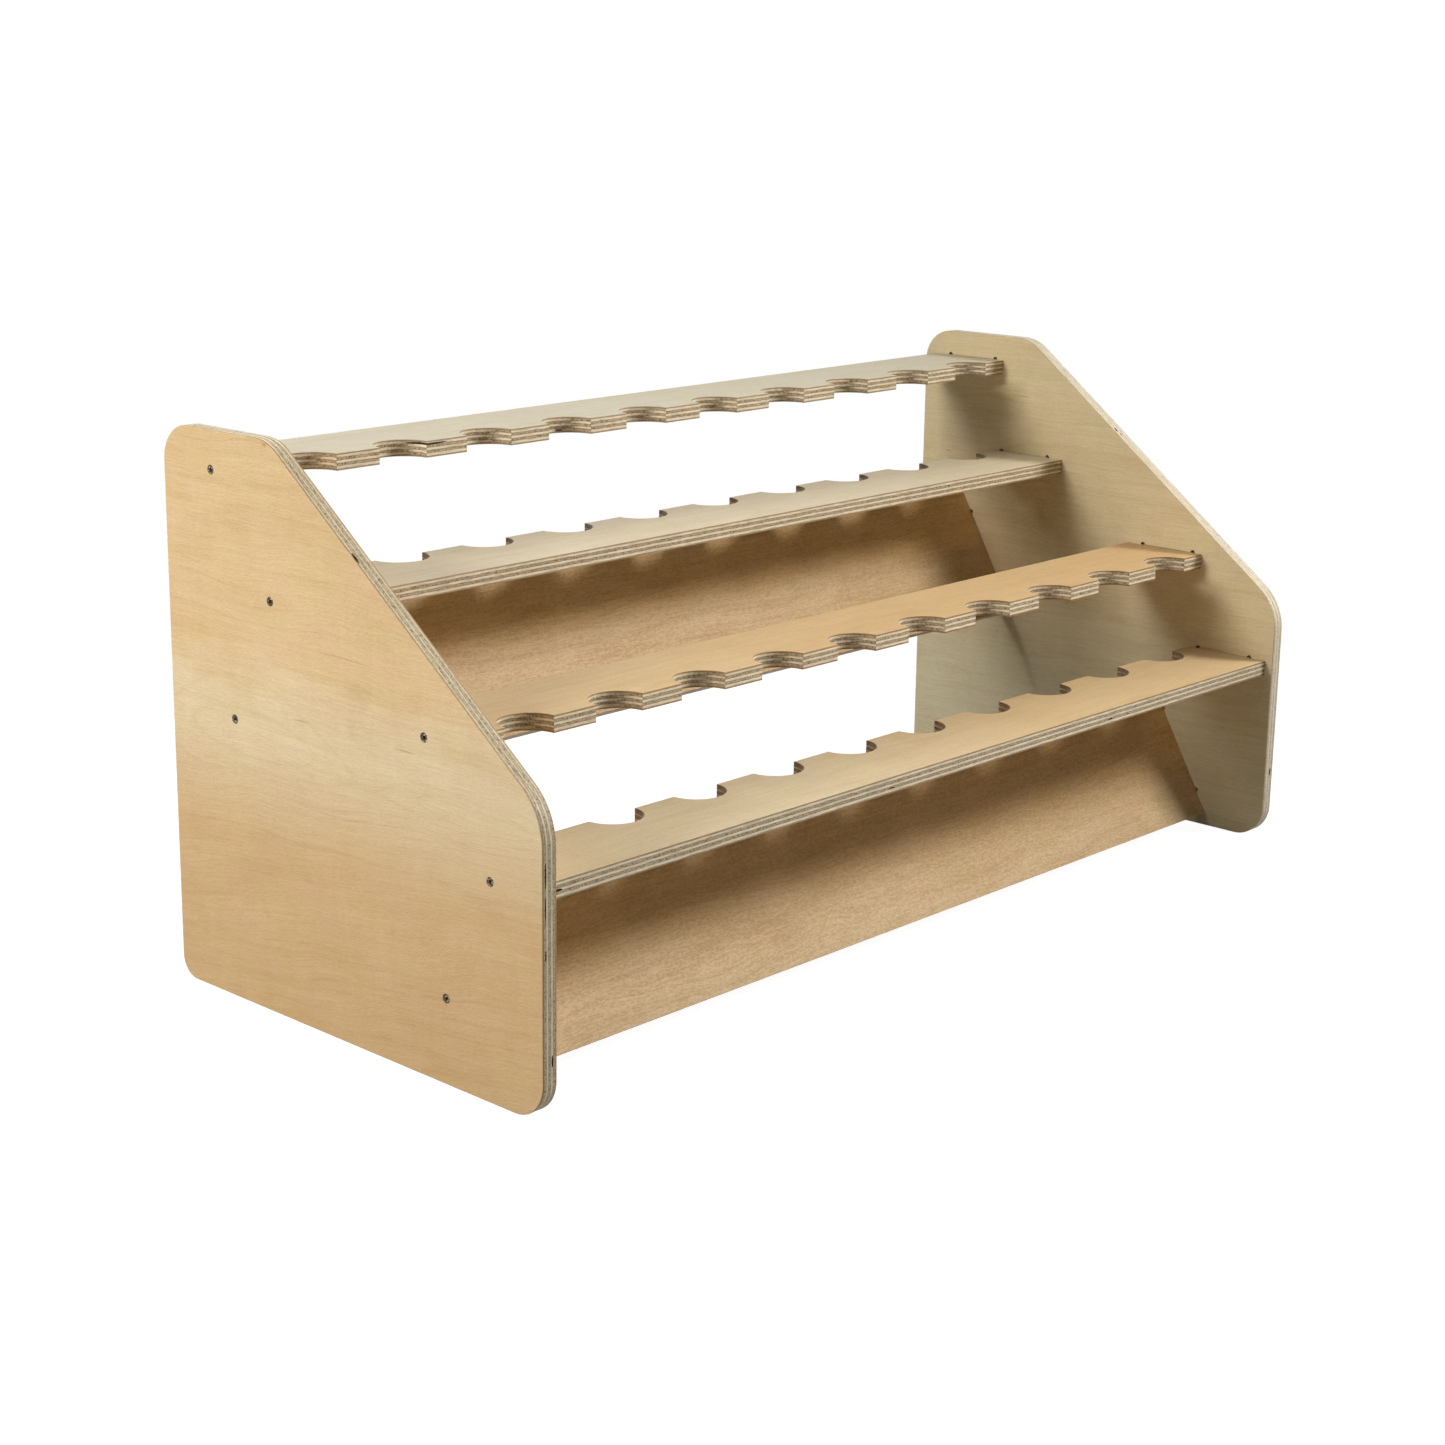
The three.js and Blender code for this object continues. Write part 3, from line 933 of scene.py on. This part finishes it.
def build_crosspiece(node, low_edge, high_edge, notches, look):
    """Draws, extrudes, softens, drills and places one slat or foot board."""
    half = sheet_thickness() / 2
    sheet = crosspiece_sheet(node)
    bm = bmesh.new()
    draw_outline(bm, crosspiece_stations(node, low_edge, high_edge, notches))
    extrude_outline(bm, -half, half)
    soften(bm, bpy.context.scene.rack_sizes.board_arris)
    bm.transform(sheet)
    piece = new_object(f"{node}_ply", bm)
    clad(piece, f"{node}_plywood", sheet, look)
    cutters = [pilot_holes(node)]
    if node in EDGE_VOIDS:
        cutters.append(pocket(f"{node}_voids", sheet, EDGE_VOIDS[node]))
    cut(piece, cutters)
    hand_over(piece, node)


def mortises(side, sheet):
    """Cutters for the blind mortises in a side panel, with a round relief at each corner."""
    sizes = bpy.context.scene.rack_sizes
    into_sheet = sheet.inverted()
    panel_middle = abs(sheet.translation.x)
    mouth = abs(inner_face(side)) - panel_middle - sizes.relief_radius
    half_height = sheet_thickness() / 2 + sizes.tenon_clearance
    bm = bmesh.new()
    for node in CROSSPIECES:
        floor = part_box(node)[1].x + sizes.tenon_clearance - panel_middle
        tenon_middle, tenon_width = tenon_sizes(node)
        half_width = tenon_width / 2 + sizes.tenon_clearance
        cross_sheet = crosspiece_sheet(node)
        centre = into_sheet @ (cross_sheet @ Vector((0, tenon_middle, 0)))
        across = into_sheet.to_3x3() @ cross_sheet.to_3x3().col[1]
        stations = []
        for index, (right, up) in enumerate(((1, -1), (1, 1), (-1, 1), (-1, -1))):
            corner = Vector((right * half_width, up * half_height))
            start = math.pi + index * QUARTER_TURN
            first = corner + Vector((math.cos(start), math.sin(start))) * sizes.relief_radius
            stations.append(Station(first, corner, 3 * QUARTER_TURN))
        part = bmesh.new()
        draw_outline(part, stations)
        extrude_outline(part, *sorted((-SIDES[side] * floor, -SIDES[side] * mouth)))
        turn = Matrix.Rotation(math.atan2(across.y, across.x), 3, "Z")
        bmesh.ops.rotate(part, verts=part.verts[:], matrix=turn)
        bmesh.ops.translate(part, verts=part.verts[:], vec=(centre.x, centre.y, 0))
        absorb(bm, part)
    bm.transform(sheet)
    return new_object(f"{side}_mortises", bm)


def spin_profile(bm, profile):
    """Turns radii and heights about the third axis into a closed body."""
    points = [bm.verts.new((radius, 0, height)) for radius, height in profile]
    lines = [bm.edges.new(pair) for pair in zip(points, points[1:])]
    bmesh.ops.spin(
        bm,
        geom=points + lines,
        cent=(0, 0, 0),
        axis=(0, 0, 1),
        angle=2 * math.pi,
        steps=SCREW_SEGMENTS,
        use_merge=True,
    )
    bmesh.ops.remove_doubles(bm, verts=bm.verts[:], dist=0.01 * MM)
    bmesh.ops.recalc_face_normals(bm, faces=bm.faces[:])


def outward_place(node, side):
    """From a screw's own frame, on the panel's outer face and looking outward, to the rack's."""
    centre = middle(f"{node}_{side}_screw")
    # Each screw's recess stopped at its own angle: one radian on from the last.
    spin = Matrix.Rotation(CROSSPIECES.index(node), 4, "Z")
    turn = Matrix.Rotation(SIDES[side] * QUARTER_TURN, 4, "Y")
    return Matrix.Translation((outer_face(side), centre.y, centre.z)) @ turn @ spin


# Left between a screw head and its countersink, and the width of the head's blunt rim.
HEAD_GAP = 0.06 * MM
HEAD_RIM = 0.15 * MM
# Sizes of the thread's ridge as shares of the core's radius and of the pitch, and its steps a turn.
THREAD_ROOT_SHARE = 0.95
THREAD_RISE_SHARE = 0.3
THREAD_STEPS = 24
# Sizes of the recess's arms as shares of the head's radius and height, and how they taper below.
RECESS_SPAN_SHARE = 1.3
RECESS_WIDTH_SHARE = 0.42
RECESS_DEPTH_SHARE = 0.7
RECESS_TAPER = (0.35, 0.6, 1)


def screw_holes(side):
    """Cutters for the clearance holes and countersinks in a side panel."""
    sizes = bpy.context.scene.rack_sizes
    flare = (sizes.head_radius - sizes.screw_radius) / sizes.head_height
    shank = sizes.screw_radius + sizes.screw_clearance
    face = sizes.head_radius + HEAD_GAP + flare * sizes.head_sink
    profile = (
        (0, -sheet_thickness()),
        (shank, -sheet_thickness()),
        (shank, -sizes.head_sink - sizes.head_height),
        (face, 0),
        (face, sizes.head_height),
        (0, sizes.head_height),
    )
    bm = bmesh.new()
    for node in CROSSPIECES:
        part = bmesh.new()
        spin_profile(part, profile)
        part.transform(outward_place(node, side))
        absorb(bm, part)
    return new_object(f"{side}_screw_holes", bm)


def build_panel(side):
    """Draws, extrudes, softens and cuts one side panel."""
    sizes = bpy.context.scene.rack_sizes
    sheet = panel_sheet(side)
    half = sheet_thickness() / 2
    low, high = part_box(f"{side}_side_panel")
    depth, height = high.y - low.y, high.z - low.z
    corners = [
        (Vector((0, 0)), sizes.rear_bottom_radius),
        (Vector((depth, 0)), sizes.front_bottom_radius),
        (Vector((depth, sizes.front_height)), sizes.front_upper_radius),
        (Vector((sizes.top_depth, height)), sizes.top_front_radius),
        (Vector((0, height)), sizes.rear_top_radius),
    ]
    bm = bmesh.new()
    draw_outline(bm, rounded(corners))
    extrude_outline(bm, -half, half)
    soften(bm, sizes.panel_arris)
    bm.transform(sheet)
    node = f"{side}_side_panel"
    piece = new_object(f"{side}_panel_ply", bm)
    clad(piece, f"{side}_panel_plywood", sheet, panel_look(side))
    voids = pocket(f"{side}_voids", sheet, EDGE_VOIDS[node])
    cut(piece, [mortises(side, sheet), screw_holes(side), voids])
    hand_over(piece, node)


def thread(bm, top, bottom):
    """Winds a three-sided ridge down the core."""
    sizes = bpy.context.scene.rack_sizes
    turns = (top - bottom) / sizes.thread_pitch
    steps = round(THREAD_STEPS * turns)
    inside = sizes.screw_core * THREAD_ROOT_SHARE
    rise = sizes.thread_pitch * THREAD_RISE_SHARE
    corners = [
        bm.verts.new(place)
        for place in ((inside, 0, top + rise), (sizes.screw_radius, 0, top), (inside, 0, top - rise))
    ]
    lines = [bm.edges.new((corners[i - 1], corners[i])) for i in range(3)]
    made = bmesh.ops.spin(
        bm,
        geom=corners + lines,
        cent=(0, 0, 0),
        axis=(0, 0, 1),
        dvec=(0, 0, (bottom - top) / steps),
        angle=2 * math.pi * turns,
        steps=steps,
    )
    ends = [part for part in made["geom_last"] if isinstance(part, bmesh.types.BMEdge)]
    bmesh.ops.contextual_create(bm, geom=lines)
    bmesh.ops.contextual_create(bm, geom=ends)


def recess_cutter(index):
    """One tapered arm of the cross recess, reaching across the head."""
    sizes = bpy.context.scene.rack_sizes
    top = (0, 0, -sizes.head_sink)
    arm = (
        RECESS_SPAN_SHARE * sizes.head_radius,
        RECESS_WIDTH_SHARE * sizes.head_radius,
        2 * RECESS_DEPTH_SHARE * sizes.head_height,
        1,
    )
    bm = bmesh.new()
    bmesh.ops.create_cube(bm, size=1, matrix=Matrix.Translation(top) @ Matrix.Diagonal(arm))
    lowest = [vert for vert in bm.verts if vert.co.z < -sizes.head_sink]
    bmesh.ops.scale(bm, verts=lowest, vec=RECESS_TAPER)
    bmesh.ops.rotate(bm, verts=bm.verts[:], matrix=Matrix.Rotation(index * QUARTER_TURN, 3, "Z"))
    # The arm's walls take the recess's painted shade.
    for face in bm.faces:
        face.material_index = 1
    return new_object(f"recess_arm_{index}", bm)


def screw_mesh(steel, recess):
    """A countersunk wood screw under its head's place on the panel's face."""
    sizes = bpy.context.scene.rack_sizes
    low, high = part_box(f"{CROSSPIECES[0]}_left_screw")
    top = -sizes.head_sink
    point = top - (high.x - low.x)
    neck = top - sizes.head_height
    profile = (
        (0, top),
        (sizes.head_radius - HEAD_RIM, top),
        (sizes.head_radius, top - HEAD_RIM),
        (sizes.screw_radius, neck),
        (sizes.screw_core, neck - 2 * HEAD_RIM),
        (sizes.screw_core, point + sizes.screw_tip),
        (0, point),
    )
    bm = bmesh.new()
    spin_profile(bm, profile)
    thread(bm, neck - sizes.screw_tip, point + sizes.screw_tip)
    bmesh.ops.recalc_face_normals(bm, faces=bm.faces[:])
    model = new_object("screw_model", bm)
    cutters = [recess_cutter(0), recess_cutter(1)]
    for mesh in (model.data, cutters[0].data, cutters[1].data):
        mesh.materials.append(steel)
        mesh.materials.append(recess)
    cut(model, cutters)
    return model


class RACK_OT_side_panels(bpy.types.Operator):
    """Cut the two side panels, with their mortises, screw holes and edge voids"""

    bl_idname = "rack.side_panels"
    bl_label = "Side panels"

    def execute(self, context):
        for side in SIDES:
            build_panel(side)
        return {"FINISHED"}


class RACK_OT_slats(bpy.types.Operator):
    """Cut the four notched slats"""

    bl_idname = "rack.slats"
    bl_label = "Notched slats"

    def execute(self, context):
        for node in CROSSPIECES:
            if "slat" in node:
                low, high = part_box(node)
                count = context.scene.rack_sizes.notch_count
                build_crosspiece(node, 0.0, high.y - low.y, count, slat_look(node))
        return {"FINISHED"}


class RACK_OT_foot_boards(bpy.types.Operator):
    """Cut the two slanted foot boards"""

    bl_idname = "rack.foot_boards"
    bl_label = "Foot boards"

    def execute(self, context):
        half = context.scene.rack_sizes.board_width / 2
        for node in CROSSPIECES:
            if "board" in node:
                build_crosspiece(node, -half, half, 0, board_look(node))
        return {"FINISHED"}


class RACK_OT_screws(bpy.types.Operator):
    """Turn the twelve countersunk screws"""

    bl_idname = "rack.screws"
    bl_label = "Screws"

    def execute(self, context):
        steel, recess = steel_material(), recess_shade_material()
        model = screw_mesh(steel, recess)
        for node in CROSSPIECES:
            for side in SIDES:
                name = f"{node}_{side}_screw"
                mesh = model.data.copy()
                mesh.transform(outward_place(node, side))
                piece = bpy.data.objects.new(f"{name}_steel", mesh)
                context.scene.collection.objects.link(piece)
                hand_over(piece, name)
        remove(model)
        return {"FINISHED"}


# The floor's glow fades to plain white between two distances from the rack.
FLOOR_RADIUS = 3.0
FLOOR_FADE = (0.42, 0.72)
FLOOR_GREY = 0.3
FLOOR_LIFT = 0.95

# A softbox stands at a place and looks at a point beside the rack's middle. Its light narrows to
# the given spread in degrees.
Lamp = namedtuple("Lamp", "name place aside width spread")
KEY_LAMP = Lamp("key_softbox", (0.72, -0.73, 0.86), -0.45, 0.34, 92)
SIDE_LAMP = Lamp("side_softbox", (-1.39, 0.38, 0.84), 0.0, 0.5, 180)
TOP_LAMP = Lamp("top_softbox", (-0.25, 0.0, 1.9), 0.0, 1.25, 180)


def add_lamp(lamp, power):
    """A square softbox at its place, turned to its point."""
    place = Vector(lamp.place)
    heart = (CAD_BOUNDS[0] + CAD_BOUNDS[1]) / 2 + Vector((lamp.aside, 0, 0))
    data = bpy.data.lights.new(lamp.name, "AREA")
    data.size = lamp.width
    data.spread = math.radians(lamp.spread)
    data.energy = power
    softbox = bpy.data.objects.new(lamp.name, data)
    turn = (heart - place).to_track_quat("-Z", "Y").to_matrix().to_4x4()
    softbox.matrix_world = Matrix.Translation(place) @ turn
    bpy.context.scene.collection.objects.link(softbox)


def camera_sees(graph, seen, otherwise):
    """Lets camera, glossy and transmission rays see one shader and all others another."""
    path = graph.node("LightPath")
    sees = path.outputs["Is Camera Ray"]
    for ray in ("Is Glossy Ray", "Is Transmission Ray"):
        sees = graph.math("MAXIMUM", sees, path.outputs[ray])
    mixed = graph.node("MixShader", {0: sees, 1: otherwise, 2: seen})
    return mixed.outputs["Shader"]


def floor_material():
    """Pale floor that takes the shadow near the rack and turns white away from it."""
    graph = Graph(bpy.data.materials.new("studio_floor"))
    coordinates = graph.node("TexCoord")
    far = graph.fade(graph.vector("LENGTH", coordinates.outputs["Object"]), *FLOOR_FADE)
    ground = graph.node("BsdfDiffuse", {"Color": (FLOOR_GREY,) * 3}).outputs["BSDF"]
    glow = graph.node("Emission", {"Color": (FLOOR_LIFT,) * 3}).outputs["Emission"]
    lifted = graph.node("AddShader", {0: ground, 1: glow}).outputs["Shader"]
    white = graph.node("Emission", {"Color": (1.0, 1.0, 1.0)}).outputs["Emission"]
    faded = graph.node("MixShader", {0: far, 1: lifted, 2: white}).outputs["Shader"]
    return graph.finish(camera_sees(graph, faded, ground))


class RACK_OT_stage(bpy.types.Operator):
    """Set the floor, the softboxes, the white background and the camera"""

    bl_idname = "rack.stage"
    bl_label = "Studio"

    def execute(self, context):
        stage = context.scene.rack_stage
        bm = bmesh.new()
        bmesh.ops.create_circle(bm, cap_ends=True, segments=96, radius=FLOOR_RADIUS)
        floor = new_object("studio_floor", bm)
        floor.data.materials.append(floor_material())
        self.light(context.scene, stage)
        self.look(context.scene, stage)
        return {"FINISHED"}

    def light(self, scene, stage):
        add_lamp(KEY_LAMP, stage.key_power)
        add_lamp(SIDE_LAMP, stage.side_power)
        add_lamp(TOP_LAMP, stage.top_power)
        graph = Graph(bpy.data.worlds.new("studio_world"))
        fill = graph.node("Background", {"Strength": stage.fill}).outputs["Background"]
        white = graph.node("Background", {"Color": (1.0, 1.0, 1.0)}).outputs["Background"]
        scene.world = graph.finish(camera_sees(graph, white, fill), "OutputWorld")
        scene.view_settings.view_transform = "Standard"

    def look(self, scene, stage):
        data = bpy.data.cameras.new("studio_camera")
        data.lens = stage.lens
        data.shift_x, data.shift_y = stage.shift_right, stage.shift_up
        camera = bpy.data.objects.new("studio_camera", data)
        turn = Euler((stage.camera_tilt, stage.camera_roll, stage.camera_pan), "YXZ")
        camera.matrix_world = Matrix.Translation(stage.camera_place) @ turn.to_matrix().to_4x4()
        scene.collection.objects.link(camera)
        scene.camera = camera


class RACK_PT_rack(bpy.types.Panel):
    """Buttons and sizes in the sidebar"""

    bl_idname = "RACK_PT_rack"
    bl_label = "Plywood paint rack"
    bl_space_type = "VIEW_3D"
    bl_region_type = "UI"
    bl_category = "Rack"

    def draw(self, context):
        layout = self.layout
        for step in STEPS:
            layout.operator(step.bl_idname)
        for group in (context.scene.rack_sizes, context.scene.rack_colours, context.scene.rack_stage):
            box = layout.box()
            for name in group.__annotations__:
                box.prop(group, name)


STEPS = (RACK_OT_side_panels, RACK_OT_slats, RACK_OT_foot_boards, RACK_OT_screws, RACK_OT_stage)
CLASSES = (RackSizes, RackColours, RackStage, *STEPS, RACK_PT_rack)


def register():
    for cls in CLASSES:
        bpy.utils.register_class(cls)
    bpy.types.Scene.rack_sizes = PointerProperty(type=RackSizes)
    bpy.types.Scene.rack_colours = PointerProperty(type=RackColours)
    bpy.types.Scene.rack_stage = PointerProperty(type=RackStage)


def unregister():
    del bpy.types.Scene.rack_stage
    del bpy.types.Scene.rack_colours
    del bpy.types.Scene.rack_sizes
    for cls in reversed(CLASSES):
        bpy.utils.unregister_class(cls)


def main():
    """Registers the add-on and runs its steps in order."""
    register()
    bpy.ops.rack.side_panels()
    bpy.ops.rack.slats()
    bpy.ops.rack.foot_boards()
    bpy.ops.rack.screws()
    bpy.ops.rack.stage()


if __name__ == "__main__":
    main()
